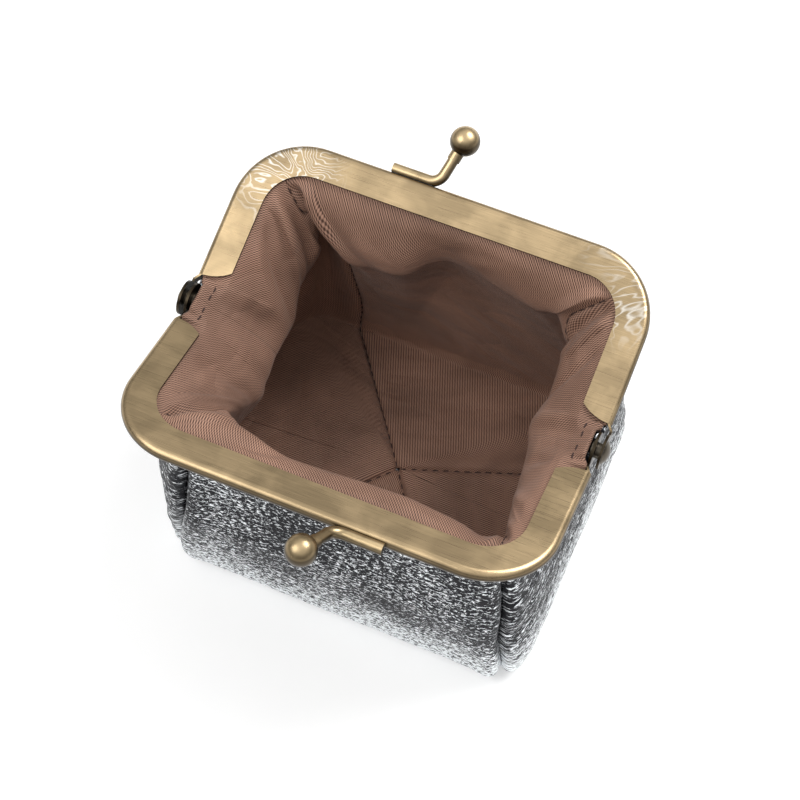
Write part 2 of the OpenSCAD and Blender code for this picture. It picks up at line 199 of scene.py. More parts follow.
def mesh_from_grid(name, p, uv):
    """A smooth quad mesh from a grid of points in millimetres."""
    ns, nr = p.shape[:2]
    verts = p.reshape(-1, 3) * MM
    s, r = np.meshgrid(np.arange(ns - 1), np.arange(nr - 1), indexing="ij")
    a = (s * nr + r).ravel()
    faces = np.stack([a, a + nr, a + nr + 1, a + 1], -1)
    flat = uv.reshape(-1, 2)[faces.ravel()]
    return smooth_mesh(name, verts.tolist(), faces.tolist(), flat)


def thicken(ob, thickness, offset):
    """Gives a sheet its thickness with a Solidify modifier, applied."""
    m = ob.modifiers.new("thickness", "SOLIDIFY")
    m.thickness = thickness * MM
    m.offset = offset
    m.use_even_offset = False
    apply_modifiers(ob)


def apply_modifiers(ob):
    dg = bpy.context.evaluated_depsgraph_get()
    me = bpy.data.meshes.new_from_object(ob.evaluated_get(dg))
    old = ob.data
    ob.modifiers.clear()
    ob.data = me
    bpy.data.meshes.remove(old)


# ---------------------------------------------------------------- camera
# Place and axes found by fitting the photograph, 800 pixels wide
CAM = np.array([78.599, -169.389, 405.669])
RIGHT = np.array([0.920037, 0.391695, -0.010354])
UP = np.array([-0.343807, 0.819668, 0.458193])
BACK = np.array([0.187958, -0.417995, 0.888792])
FOCAL, FRAME_PX, SENSOR = 1816.166, 800, 36


def make_camera():
    data = bpy.data.cameras.new("camera")
    data.sensor_width = SENSOR
    data.lens = FOCAL * SENSOR / FRAME_PX
    data.clip_start, data.clip_end = 0.01, 20
    ob = bpy.data.objects.new("camera", data)
    bpy.context.scene.collection.objects.link(ob)
    m = Matrix([[RIGHT[k], UP[k], BACK[k], CAM[k] * MM] for k in range(3)] + [[0, 0, 0, 1]])
    ob.matrix_world = m
    bpy.context.scene.camera = ob


# ---------------------------------------------------------------- materials
def material(name):
    m = bpy.data.materials.new(name)
    m.use_nodes = True
    nt = m.node_tree
    bsdf = nt.nodes["Principled BSDF"]
    return m, nt, bsdf


def node(nt, kind, **inputs):
    n = nt.nodes.new(kind)
    for k, v in inputs.items():
        if k.startswith("_"):
            setattr(n, k[1:], v)
        else:
            n.inputs[k.replace("_", " ")].default_value = v
    return n


def ramp(nt, stops, source):
    r = nt.nodes.new("ShaderNodeValToRGB")
    els = r.color_ramp.elements
    while len(els) < len(stops):
        els.new(0.5)
    for e, (pos, col) in zip(els, stops):
        e.position = pos
        e.color = (*col, 1) if len(col) == 3 else (col[0],) * 3 + (1,)
    nt.links.new(source, r.inputs["Fac"])
    return r


def maths(nt, operation, a, b=None, c=None, clamp=False):
    n = nt.nodes.new("ShaderNodeMath")
    n.operation = operation
    n.use_clamp = clamp
    for socket, v in zip(n.inputs, (a, b, c)):
        if v is None:
            continue
        if isinstance(v, (int, float)):
            socket.default_value = v
        else:
            nt.links.new(v, socket)
    return n.outputs["Value"]


def split(nt, vector):
    """The X, Y and Z sockets of a vector."""
    n = nt.nodes.new("ShaderNodeSeparateXYZ")
    nt.links.new(vector, n.inputs["Vector"])
    return n.outputs


def noise(nt, vector, **inputs):
    n = node(nt, "ShaderNodeTexNoise", **inputs)
    nt.links.new(vector, n.inputs["Vector"])
    return n.outputs["Fac"]


def away_from(nt, a, b):
    """Distance of a point from the origin of a plane, by its two coordinates."""
    squares = maths(nt, "ADD", maths(nt, "MULTIPLY", a, a), maths(nt, "MULTIPLY", b, b))
    return maths(nt, "SQRT", squares)


def blend_colours(nt, share, first, second, blend_type="MIX"):
    """Mixes two colours, each a socket or a tuple, by a share."""
    mix = nt.nodes.new("ShaderNodeMix")
    mix.data_type = "RGBA"
    mix.blend_type = blend_type
    for k, v in ((0, share), (6, first), (7, second)):
        if isinstance(v, bpy.types.NodeSocket):
            nt.links.new(v, mix.inputs[k])
        else:
            mix.inputs[k].default_value = v
    return mix.outputs[2]


def bump_into(nt, normal, height, strength, distance):
    """Feeds a bump of some metres into a Normal input, and returns the bump's
    own Normal input for another one under it."""
    n = node(nt, "ShaderNodeBump", Strength=strength, Distance=distance)
    nt.links.new(height, n.inputs["Height"])
    nt.links.new(n.outputs["Normal"], normal)
    return n.inputs["Normal"]


def paint_shade(nt, co, colour):
    """Painted shade: darkens a colour on faces that look down and round the hinge pins, where shade
    falls.
    """
    facing_up = split(nt, co.outputs["Normal"])["Z"]
    place = split(nt, co.outputs["Object"])
    turned = maths(nt, "MULTIPLY_ADD", facing_up, -2.2, 1.8, clamp=True)
    facing = maths(nt, "MULTIPLY_ADD", facing_up, 4.0, 2.2, clamp=True)
    under = maths(nt, "MULTIPLY", maths(nt, "MULTIPLY", turned, facing), 0.95)
    away = away_from(nt, maths(nt, "SUBTRACT", place["Z"], HINGE * MM), place["Y"])
    near = maths(nt, "MULTIPLY_ADD", away, -900.0, 5.2, clamp=True)
    share = maths(nt, "MULTIPLY", maths(nt, "MAXIMUM", under, near), 0.95)
    # The painted shade's colour, near black
    return blend_colours(nt, share, colour, (0.030, 0.024, 0.017, 1))


# Where the painted glints gather, near the back jaw's corners
GLINT_X, GLINT_Y = 39.0, 34.0


def painted_glints(nt, co, colour):
    """Painted glints: pale wavy lines near the back jaw's corners, the glare of a clear film
    painted into the colour.
    """
    place = split(nt, co.outputs["Object"])
    field = noise(nt, co.outputs["Object"], Scale=48.0, Detail=3.5, Distortion=0.9)
    line = maths(nt, "PINGPONG", maths(nt, "MULTIPLY", field, 58.0), 1.0)
    line = maths(nt, "MULTIPLY_ADD", line, 3.2, -2.0, clamp=True)
    # Full within 8 mm of those points, gone by 15 mm
    away = away_from(nt, maths(nt, "SUBTRACT", maths(nt, "ABSOLUTE", place["X"]), GLINT_X * MM),
                     maths(nt, "SUBTRACT", place["Y"], GLINT_Y * MM))
    near = maths(nt, "MULTIPLY_ADD", away, -130.0, 2.0, clamp=True)
    patch = noise(nt, co.outputs["Object"], Scale=45.0, Detail=1.0)
    some = maths(nt, "MULTIPLY_ADD", patch, 6.0, -2.5, clamp=True)
    flat = maths(nt, "MULTIPLY_ADD", split(nt, co.outputs["Normal"])["Z"], 9.0, -7.4, clamp=True)
    share = maths(nt, "MULTIPLY", maths(nt, "MULTIPLY", line, maths(nt, "MULTIPLY", near, flat)),
                  maths(nt, "MULTIPLY", some, 0.7))
    # The painted glints' pale colour
    return blend_colours(nt, share, colour, (1.0, 0.97, 0.90, 1))


def brass_material(name, colour, rough, brushed=True):
    """Antique brass, brushed along X, with painted shade on faces that look down and round the
    hinge pins, and painted glints near the back jaw's corners when brushed.
    """
    m, nt, b = material(name)
    b.inputs["Metallic"].default_value = 1.0
    co = nt.nodes.new("ShaderNodeTexCoord")
    mp = nt.nodes.new("ShaderNodeMapping")
    nt.links.new(co.outputs["Object"], mp.inputs["Vector"])
    mp.inputs["Scale"].default_value = (110, 7000, 7000) if brushed else (500, 500, 500)
    fine = noise(nt, mp.outputs["Vector"], Scale=1.0, Detail=3.0)
    cloud = noise(nt, co.outputs["Object"], Scale=110.0, Detail=3.0, Distortion=0.4)
    dark = tuple(c * 0.90 for c in colour)
    light = tuple(min(1, c * 1.08) for c in colour)
    base = ramp(nt, [(0.3, dark), (0.7, light)], fine)
    shade = ramp(nt, [(0.38, (0.74,)), (0.62, (1.06,))], cloud)
    clouded = blend_colours(nt, 1.0, base.outputs["Color"], shade.outputs["Color"], "MULTIPLY")
    # Painted shade on faces that look down and round the hinge pins, then the painted glints
    painted_shading = paint_shade(nt, co, clouded)
    nt.links.new(painted_glints(nt, co, painted_shading) if brushed else painted_shading, b.inputs["Base Color"])
    roughness = ramp(nt, [(0.3, (rough * 0.8,)), (0.7, (rough * 1.25,))], fine)
    nt.links.new(roughness.outputs["Color"], b.inputs["Roughness"])
    bump_into(nt, b.inputs["Normal"], fine, 0.35 if brushed else 0.1, 0.00003)
    return m


def leather_material(name, across, down):
    """Pewter foil on crinkled leather: short worn crests over near-black
    pits. across and down are the crests' counts per metre."""
    m, nt, b = material(name)
    b.inputs["Metallic"].default_value = 0.8
    uv = nt.nodes.new("ShaderNodeUVMap")
    uv.uv_map = "cloth"
    mp = nt.nodes.new("ShaderNodeMapping")
    mp.inputs["Scale"].default_value = (across, down, 1)
    nt.links.new(uv.outputs["UV"], mp.inputs["Vector"])
    grain = noise(nt, mp.outputs["Vector"], Scale=1.0, Detail=3.5, Roughness=0.62, Distortion=0.9)
    co = nt.nodes.new("ShaderNodeTexCoord")
    patch = noise(nt, co.outputs["Object"], Scale=55.0, Detail=2.0)
    # Painted light and shade: brightest up to 4 mm over the floor, where the floor's light is
    # painted in, and as dark as it gets from 24 mm
    painted_shading = node(nt, "ShaderNodeMapRange", From_Min=0.004, From_Max=0.024, To_Min=0.0, To_Max=-0.135)
    nt.links.new(split(nt, co.outputs["Object"])["Z"], painted_shading.inputs["Value"])
    level = maths(nt, "ADD", maths(nt, "MULTIPLY_ADD", patch, 0.16, painted_shading.outputs["Result"]), grain)
    base = ramp(nt, [(0.45, (0.006, 0.006, 0.009)), (0.50, (0.09, 0.095, 0.105)),
                     (0.555, (0.90, 0.93, 0.95))], level)
    nt.links.new(base.outputs["Color"], b.inputs["Base Color"])
    roughness = ramp(nt, [(0.45, (0.55,)), (0.7, (0.30,))], level)
    nt.links.new(roughness.outputs["Color"], b.inputs["Roughness"])
    bump_into(nt, b.inputs["Normal"], grain, 0.7, 0.00018)
    return m


def lining_material():
    """Fine ribbed weave: ribs follow the cloth's own UV directions."""
    m, nt, b = material("lining_twill")
    uv = nt.nodes.new("ShaderNodeUVMap")
    uv.uv_map = "cloth"
    mp = nt.nodes.new("ShaderNodeMapping")
    mp.inputs["Scale"].default_value = (4200, 4200, 1)
    nt.links.new(uv.outputs["UV"], mp.inputs["Vector"])
    bands = {}
    for way, scale in (("X", 1.0), ("DIAGONAL", 1.4)):
        bands[way] = node(nt, "ShaderNodeTexWave", _bands_direction=way, Scale=scale / 6.283,
                          Distortion=0.6, Detail=1.0)
        nt.links.new(mp.outputs["Vector"], bands[way].inputs["Vector"])
    weave = maths(nt, "MULTIPLY_ADD", bands["DIAGONAL"].outputs["Fac"], 0.55,
                  maths(nt, "MULTIPLY", bands["X"].outputs["Fac"], 0.45))
    cloud = noise(nt, uv.outputs["UV"], Scale=60.0, Detail=3.0)
    base = ramp(nt, [(0.2, (0.080, 0.038, 0.025)), (0.8, (0.465, 0.268, 0.188))], weave)
    shade = ramp(nt, [(0.32, (0.72,)), (0.64, (1.04,))], cloud)
    clouded = blend_colours(nt, 1.0, base.outputs["Color"], shade.outputs["Color"], "MULTIPLY")
    nt.links.new(clouded, b.inputs["Base Color"])
    b.inputs["Roughness"].default_value = 0.62
    b.inputs["Sheen Weight"].default_value = 0.1
    b.inputs["Sheen Roughness"].default_value = 0.4
    b.inputs["Specular IOR Level"].default_value = 0.3
    rumple = noise(nt, uv.outputs["UV"], Scale=55.0, Detail=2.5, Roughness=0.45, Distortion=0.45)
    ridge = maths(nt, "ABSOLUTE", maths(nt, "SUBTRACT", rumple, 0.5))
    ridge = maths(nt, "MULTIPLY", ridge, 6.0, clamp=True)
    under = bump_into(nt, b.inputs["Normal"], weave, 0.7, 0.00012)
    bump_into(nt, under, ridge, 0.45, 0.0010)
    return m


def plain_material(name, colour, rough, metallic=0.0):
    m, nt, b = material(name)
    b.inputs["Base Color"].default_value = (*colour, 1)
    b.inputs["Roughness"].default_value = rough
    b.inputs["Metallic"].default_value = metallic
    tex = nt.nodes.new("ShaderNodeTexCoord")
    grain = noise(nt, tex.outputs["Object"], Scale=900.0, Detail=2.0)
    bump_into(nt, b.inputs["Normal"], grain, 0.25, 0.00005)
    return m


BRASS = brass_material("antique_brass", (0.52, 0.388, 0.225), 0.32)
POLISHED = brass_material("antique_brass_turned", (0.62, 0.47, 0.27), 0.34, brushed=False)
DARK = plain_material("dark_brass", (0.10, 0.085, 0.065), 0.32, 0.9)
LEATHER = leather_material("silver_leather", 950, 1700)
LEATHER_SIDE = leather_material("silver_leather_side", 550, 2100)
LINING = lining_material()
THREAD = plain_material("lining_thread", (0.045, 0.022, 0.018), 0.8)
FELT = plain_material("interlining_felt", (0.62, 0.60, 0.56), 0.9)
PAPER = plain_material("paper_cord", (0.40, 0.29, 0.17), 0.85)


def dress(ob, mat):
    ob.data.materials.clear()
    ob.data.materials.append(mat)
    for p in ob.data.polygons:
        p.material_index = 0


# ---------------------------------------------------------------- leather
# Free rims beside the hinges: x at the legs, x and z beside the ears
RIM_OUT, RIM_IN = (48.2, 47.4, HINGE + 1.6), (47.5, 46.6, HINGE + 2.5)
# x and z at the hinge, where the leather and the lining leave their rims
FROM_RIM_OUT, FROM_RIM_IN = (47.2, HINGE - 3.4), (42.6, HINGE - 0.2)


def rim_line(share, x_leg, x_mid, z_mid):
    """Free edge between two legs: share 0 at a leg's end, 1 at the hinge. It
    is at x_mid and z_mid beside the ears, and runs out to the legs' folds."""
    leg = jaw_point(0.0, LEG_END, 0.9)
    y = leg[1] * (1 - share)
    w = smooth((4.6 - y) / 1.2)
    x = x_leg * (1 - w) + x_mid * w
    over = HINGE + 0.3 * y + 0.1
    z = leg[2] + (over - leg[2]) * smooth(share / 0.12)
    z = z + (z_mid - z) * smooth((4.4 - y) / 1.6)
    return np.stack([x, y, z], -1)


def tuck_at(i):
    """How far the edge reaches into the channel: deeper by a leg's end."""
    return TUCK + 2.0 * smooth((i - 8.3) / 0.7)


# The bag: half width, half depth and corner radius, at its belly and its foot
BELLY, BELLY_Z = (45.6, 39.2, 14.0), 31.0
FOOT_W, FOOT_D, FOOT_R = 45.9, 38.6, 11.0
# The bottom edge's radius, and how far the bag leans to +X at its foot
EDGE_R, LEAN = 6.0, 2.1
LEATHER_T, LINING_T, STRIP_T = 0.8, 0.35, 0.3


def leather_surface(g, r):
    """Outside of the leather: r 0 to 1 in the channel, to 2 the wall down to
    the bottom edge, to 3 round that edge, to 4 the base."""
    i, sx, sy = fold_station(g)
    n_out = GAP / 2 + JAW_T - SHEET - PLAY
    in_gap = (i > LEG)[..., None]
    share = np.clip((i - LEG) / (QUARTER - LEG), 0, 1)
    k = np.clip(r, 0, 1)
    rim = rim_line(share, *RIM_OUT) - np.array([0, 0, 1.8])
    leg_out = outline(np.full_like(i, LEG), BAND, n_out)
    w = smooth(share * 1.3)[..., None]
    low = leg_out * (1 - w) + np.array([FROM_RIM_OUT[0], 0, FROM_RIM_OUT[1]]) * w
    low[..., 1] = leg_out[..., 1] * (1 - share)
    hidden = outline(i, BAND - TUCK * (1 - k), n_out)
    mouth = np.where(in_gap, rim + (low - rim) * k[..., None], hidden)
    mouth_end = np.where(in_gap, low, outline(i, BAND, n_out))

    turn = corner_turn(i)
    inward = jaw_point(-np.sin(turn), -np.cos(turn), 0.0) - jaw_point(0.0, 0.0, 0.0)
    outward = jaw_point(0.0, 0.0, 1.0) - jaw_point(0.0, 0.0, 0.0)
    splay = (0.5 - 0.35 * bump(i, 5.2, 2.2))[..., None]
    lead = np.cos(splay) * inward + np.sin(splay) * outward
    lead = lead * (1 - w) + np.array([0, 0, -1.0]) * w
    belly = loop(i, *BELLY, BELLY_Z)
    upper = hermite(mouth_end, 7 * lead, belly, np.array([0, 0, -17.0]), np.clip((r - 1) * 2, 0, 1))
    foot = loop(i, FOOT_W, FOOT_D, FOOT_R, EDGE_R)
    lower = hermite(belly, np.array([0, 0, -26.0]), foot, np.array([0, 0, -24.0]),
                    np.clip((r - 1.5) * 2, 0, 1))
    bend = np.radians(90 * np.clip(r - 2, 0, 1))
    sink = EDGE_R * (1 - np.cos(bend))
    edge = loop(i, FOOT_W - sink, FOOT_D - sink, FOOT_R - sink, 0.0)
    edge[..., 2] = EDGE_R - EDGE_R * np.sin(bend)
    base_share = 1 - np.clip(r - 3, 0, 1) * 0.99
    base = loop(i, FOOT_W - EDGE_R, FOOT_D - EDGE_R, FOOT_R - EDGE_R, 0.0)
    base = base * np.stack([base_share, base_share, 1 + 0 * r], -1)
    p = np.where((r <= 1)[..., None], mouth, upper)
    p = np.where((r > 1.5)[..., None], lower, p)
    p = np.where((r > 2)[..., None], edge, p)
    p = np.where((r > 3)[..., None], base, p)
    p = p * np.stack([sx, sy, 1 + 0 * r], -1)
    p[..., 0] += LEAN * smooth((44 - p[..., 2]) / 36)
    return p


def stations(seam0, seam1, rows, steps):
    """Station and row grids between two seams, each a function of the row."""
    s = np.linspace(0, 1, steps)[:, None]
    return (seam0(rows)[None] * (1 - s) + seam1(rows)[None] * s,
            np.broadcast_to(rows, (steps, len(rows))))


FAR = 99.0  # a distance beyond any that matters here


def row_grid(*counts):
    """Rows 0 to 4, with so many points in each whole step."""
    parts = [np.linspace(k, k + 1, n)[1 if k else 0:] for k, n in enumerate(counts)]
    return np.concatenate(parts)


def from_seams(p, sewn):
    """Distance of each point of a gore from its nearest sewn side."""
    d = np.full(p.shape[:2], FAR)
    for k in sewn:
        d = np.minimum(d, distance_to_line(p, p[0 if k == 0 else -1]))
    return d


def gore_uv(p, sewn):
    """A gore's cloth coordinates, from its middle or its cut side."""
    steps = len(p)
    if len(sewn) == 2:
        return cloth_uv(p, steps // 2)
    return cloth_uv(p, steps - 1 if sewn == (0,) else 0)


def distance_to_line(p, line):
    d = np.full(p.shape[:2], FAR)
    for a in range(p.shape[0]):
        d[a] = np.linalg.norm(p[a][:, None] - line[None, :, :], axis=-1).min(1)
    return d


def leather_gore(name, seam0, seam1, sewn, steps):
    """One gore of the leather between two seams. sewn holds the sides, 0 or
    1, where it meets another gore in a turned seam."""
    G, R = stations(seam0, seam1, row_grid(8, 100, 18, 40), steps)
    p = leather_surface(G, R)
    n = grid_normals(p)
    d = from_seams(p, sewn)
    below = smooth((R - 1.02) / 0.12)
    push = below * (-1.8 * np.exp(-(d / 0.9) ** 2) + 0.75 * bump(d, 3.2, 2.6))
    uv = gore_uv(p, sewn)
    x, y, z = p[..., 0], p[..., 1], p[..., 2]
    wall = smooth((R - 1.1) / 0.15) * smooth((2.6 - R) / 0.5)
    side = len(sewn) == 1
    if side:
        warp = soft_noise(y, z * 1.5, 14.0, 5)
        ridge = np.sin(z / 1.25 + 2.6 * warp + 0.05 * y)
        push = push + wall * (0.30 * ridge * (0.3 + 0.7 * np.abs(soft_noise(y, z, 10.0, 8)))
                              + 0.55 * soft_noise(y * 0.6, z * 1.6, 15.0, 11))
    else:
        push = push + wall * (0.45 * soft_noise(x, z, 20.0, 23)
                              + 0.15 * soft_noise(x, z * 1.6, 7.0, 29))
    p = p + n * push[..., None]
    p[..., 2] = np.maximum(p[..., 2], 0.0)
    ob = mesh_from_grid(name, p, uv)
    thicken(ob, LEATHER_T, -1 if outward_winding(ob) else 1)
    dress(ob, LEATHER_SIDE if side else LEATHER)
    return ob


def outward_winding(ob):
    """Whether the mesh's faces already look away from the purse's middle."""
    middle = Vector((0, 0, 0.03))
    return sum(p.area * (1 if p.normal.dot(p.center - middle) > 0 else -1)
               for p in ob.data.polygons) > 0


# Station of a seam in its quarter
SEAM = 5.0


def bend_with(ob):
    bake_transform(ob)


def at(g):
    """A seam that keeps its station."""
    return lambda r: np.full_like(r, float(g))


def slide(g0, g1, r0, r1):
    """A seam that moves from station g0 at row r0 to g1 at row r1."""
    return lambda r: g0 + (g1 - g0) * smooth((r - r0) / (r1 - r0))


Q = QUARTER
# Leather seams: front right, back right, back left, front left
LEATHER_SEAMS = (slide(5.3, 4.5, 1.1, 1.9), at(2 * Q - SEAM), at(2 * Q + SEAM),
                 slide(4 * Q - 2.9, 4 * Q - 4.6, 1.0, 2.0))


def six_gores(kind, maker, seams, steps, replaced):
    """Front, back and the two side gores, each side in two halves that meet at the hinges, each
    returned with its jaw's name."""
    fr, br, bl, fl = seams
    parts = [
        ("front", lambda r: fl(r) - 4 * Q, fr, (0, 1), steps, "front_frame", "front"),
        ("right_front", fr, at(Q), (0,), steps // 2, "front_frame", "right"),
        ("right_back", at(Q), br, (1,), steps // 2, "back_frame", "right"),
        ("back", br, bl, (0, 1), steps, "back_frame", "back"),
        ("left_back", bl, at(3 * Q), (0,), steps // 2, "back_frame", "left"),
        ("left_front", at(3 * Q), fl, (1,), steps // 2, "front_frame", "left"),
    ]
    made = []
    for part, s0, s1, sewn, n, jaw, node_end in parts:
        ob = maker(kind + "_" + part + "_gore", s0, s1, sewn, n)
        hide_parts(*[r + "_" + node_end for r in replaced])
        made.append((ob, jaw))
    return made


# ---------------------------------------------------------------- lining
# Half width, half depth and corner radius of the lining's floor, its height,
# and its middle, where the seams cross
FLOOR_W, FLOOR_D, FLOOR_R, LINING_FLOOR = 43.0, 35.0, 7.0, 2.7
CROSSING = np.array([0.3, 2.5, LINING_FLOOR])
# The lining hangs loose. Where it bulges furthest into the purse, at stations
# round the mouth: (station, x, y, z above the hinge axis).
BULGE = [
    (0.65, 7.2, -28.8, 5.0), (1.6, 17.3, -28.5, 5.0), (2.6, 27.2, -29.0, 5.0),
    (3.6, 33.3, -29.4, 3.0), (4.7, 37.8, -27.0, 0.0), (5.8, 36.6, -21.7, -5.0),
    (7.4, 35.2, -13.3, -8.0), (10.0, 33.5, -1.3, -10.0), (12.4, 31.5, 6.7, -13.0),
    (14.4, 32.8, 14.9, -11.0), (16.0, 32.4, 22.9, -5.0), (17.2, 28.9, 29.1, -2.0),
    (18.4, 22.9, 29.4, -4.0), (20.4, 12.4, 31.3, -3.0), (21.6, 1.9, 33.1, -2.0),
    (22.4, -3.2, 31.4, -3.0), (23.2, -8.7, 26.8, -5.0), (24.3, -17.2, 26.6, -5.0),
    (25.4, -25.4, 30.0, -4.0), (26.3, -30.6, 32.2, 2.0), (27.1, -30.8, 28.5, -5.0),
    (27.8, -29.4, 27.2, -8.0), (28.6, -30.8, 23.0, -12.0), (29.4, -31.9, 19.6, -16.0),
    (30.6, -30.7, 14.0, -20.0), (32.3, -30.9, 7.0, -20.0), (34.4, -30.1, -3.5, -20.0),
    (35.7, -29.0, -8.0, -19.0), (37.0, -29.8, -14.5, -13.0), (38.4, -29.6, -20.5, -5.0),
    (39.6, -26.0, -25.0, 2.0), (41.0, -19.2, -27.8, 5.0), (42.6, -10.2, -29.7, 5.0)]
# Which way the lining heads at the bulge: out under it at the back and left
UNDERCUT = [
    (0.0, 0.0, 0.0, -1.0), (6.0, 0.0, 0.0, -1.0), (14.0, 0.0, 0.0, -1.0), (16.0, 0.1, 0.35, -1.0),
    (18.0, 0.05, 0.62, -1.0), (22.0, 0.0, 0.62, -1.0), (26.0, -0.05, 0.6, -1.0),
    (28.0, -0.2, 0.4, -1.0), (31.0, -0.3, 0.0, -1.0), (36.0, -0.3, 0.0, -1.0),
    (39.0, -0.15, 0.0, -1.0), (41.0, 0.0, 0.0, -1.0)]


def lining_surface(g, r):
    """Inside of the lining: r 0 to 1 in the channel, to 2 the shoulder down to
    the bulge, to 3 the wall under it, to 4 the base."""
    i, sx, sy = fold_station(g)
    n_in = GAP / 2 + SHEET + PLAY
    in_gap = (i > LEG)[..., None]
    share = np.clip((i - LEG) / (QUARTER - LEG), 0, 1)
    k = np.clip(r, 0, 1)
    sign = np.stack([sx, sy, 1 + 0 * i], -1)
    rim = rim_line(share, *RIM_IN)
    rolled = rim + np.array([-0.5, 0, 0.25])
    leg_in = outline(np.full_like(i, LEG), BAND, n_in)
    w = smooth(share * 1.4)[..., None]
    low = leg_in * (1 - w) + np.array([FROM_RIM_IN[0], 0, FROM_RIM_IN[1]]) * w
    low[..., 1] = leg_in[..., 1] * (1 - share)
    turned = (rim - np.array([0, 0, 0.9])) * (1 - k[..., None] * 5) + rim * k[..., None] * 5
    inner = rolled + (low - rolled) * ((k[..., None] - 0.2) / 0.8)
    edge = np.where(k[..., None] < 0.2, turned, inner)
    hidden = outline(i, BAND - tuck_at(i) * (1 - k), n_in)
    top = np.where(in_gap, edge, hidden) * sign
    edge_of_mouth = np.where(in_gap, low, outline(i, BAND, n_in)) * sign
    b = around([(s, x, y, z + HINGE) for s, x, y, z in BULGE], g)
    chord = b - edge_of_mouth
    reach = np.linalg.norm(chord, axis=-1, keepdims=True)
    turn = corner_turn(i)
    inward = jaw_point(-np.sin(turn), -np.cos(turn), 0.0) - jaw_point(0.0, 0.0, 0.0)
    inward = inward * (1 - w) + np.array([-0.86, 0, -0.5]) * w
    slack = (0.62 - 0.28 * smooth((i - 6.0) / 2.5))[..., None]
    down = around(UNDERCUT, g)
    down = down / np.linalg.norm(down, axis=-1, keepdims=True)
    lead = inward * sign * (1 - 0.35 * smooth((i - 6.0) / 2.0)[..., None]) + np.array([0, 0, -0.3])
    shoulder = hermite(edge_of_mouth, lead * reach * slack, b, down * reach * 0.75,
                       np.clip(r - 1, 0, 1))
    floor = loop(i, FLOOR_W, FLOOR_D, FLOOR_R, LINING_FLOOR) * sign
    drop = b[..., 2:3] - floor[..., 2:3]
    centre_dir = -sign * np.stack([np.abs(floor[..., 0]) / FLOOR_W,
                                   np.abs(floor[..., 1]) / FLOOR_D, 0 * g], -1)
    under = hermite(b, down * drop * 0.72, floor, centre_dir * 12 + np.array([0, 0, -6.0]),
                    np.clip(r - 2, 0, 1))
    share_in = 1 - np.clip(r - 3, 0, 1) * 0.99
    flat = CROSSING + (floor - CROSSING) * share_in[..., None]
    p = np.where((r <= 1)[..., None], top, shoulder)
    p = np.where((r > 2)[..., None], under, p)
    p = np.where((r > 3)[..., None], flat, p)
    return p


# Gathers of the lining that hang from the frame: (station at the mouth and at
# the bulge, rows where it starts and ends, half width in mm, height in mm)
GATHERS = [
    (26.2, 24.6, 1.02, 2.5, 2.6, 2.2), (26.9, 25.6, 1.02, 2.2, 1.3, -1.3),
    (27.6, 28.4, 1.0, 2.3, 1.6, -1.8), (28.1, 29.6, 1.0, 2.1, 2.0, 1.6),
    (28.9, 31.0, 1.1, 2.2, 1.6, -0.9), (29.4, 32.0, 1.1, 2.0, 1.8, 0.8),
    (31.4, 33.0, 1.3, 2.2, 2.4, -0.9), (34.4, 34.0, 1.2, 2.1, 2.2, 0.8),
    (35.6, 36.4, 1.1, 2.2, 1.8, -0.9), (37.6, 37.0, 1.1, 2.0, 2.4, 0.9),
    (39.0, 38.4, 1.05, 2.2, 1.6, -1.5), (40.2, 39.6, 1.05, 2.0, 1.8, 1.2),
    (16.6, 16.2, 1.0, 2.3, 1.5, -2.0), (15.6, 15.2, 1.0, 2.0, 1.5, 1.0),
    (17.6, 17.6, 1.05, 2.1, 2.0, 1.2), (14.6, 14.0, 1.05, 2.2, 1.3, -0.8),
    (12.6, 12.4, 1.2, 2.1, 2.0, 0.7), (9.2, 9.0, 1.2, 2.1, 1.8, -0.8),
    (7.6, 7.2, 1.1, 2.1, 2.0, 0.8), (5.6, 5.4, 1.05, 2.2, 1.5, -1.2),
    (4.4, 4.4, 1.05, 2.0, 2.0, 0.7), (2.2, 1.4, 1.2, 2.1, 3.4, 0.6),
    (42.0, 42.6, 1.2, 2.0, 3.0, -0.6), (20.6, 21.4, 1.3, 2.1, 4.0, 0.5)]
# Lining seams, with the stations where the photo shows them on the base
LINING_SEAMS = (slide(SEAM, 2.2, 1.6, 3.0), slide(2 * Q - SEAM, 13.6, 1.6, 3.0),
                slide(2 * Q + SEAM, 24.0, 1.4, 2.8), slide(4 * Q - SEAM, 4 * Q - 2.8, 1.6, 3.0))


def gathers(p, G, R):
    """Heights of the gathers on a grid, each one a fold along its station."""
    per_station = np.maximum(np.abs(np.gradient(G, axis=0)), 1e-6)
    width = np.linalg.norm(np.gradient(p, axis=0), axis=-1) / per_station
    total = np.zeros(G.shape)
    for top, foot, r0, r1, half, height in GATHERS:
        t = np.clip(R - 1, 0, 1.6)
        middle = top + (foot - top) * t
        off = np.mod(G - middle + 2 * Q, 4 * Q) - 2 * Q
        d = off * width / half
        total += height * np.exp(-d**2) * smooth((R - r0) / 0.25) * smooth((r1 - R) / 0.6)
    return total


# The leather's inside, as far as the lining may reach to the left, to the
# right, and to the front and back, and its corners' radius
ROOM_LEFT, ROOM_RIGHT, ROOM_DEEP, ROOM_R = 40.9, 44.0, 36.2, 13.0


def keep_inside(p, share):
    """Draws points into the leather's inside, a box with rounded corners."""
    x, y = p[..., 0].copy(), p[..., 1].copy()
    cx = np.clip(x, ROOM_R - ROOM_LEFT, ROOM_RIGHT - ROOM_R)
    cy = np.clip(y, ROOM_R - ROOM_DEEP, ROOM_DEEP - ROOM_R)
    beyond = np.maximum(np.hypot(x - cx, y - cy) / ROOM_R, 1.0)
    p[..., 0] += (cx + (x - cx) / beyond - x) * share
    p[..., 1] += (cy + (y - cy) / beyond - y) * share


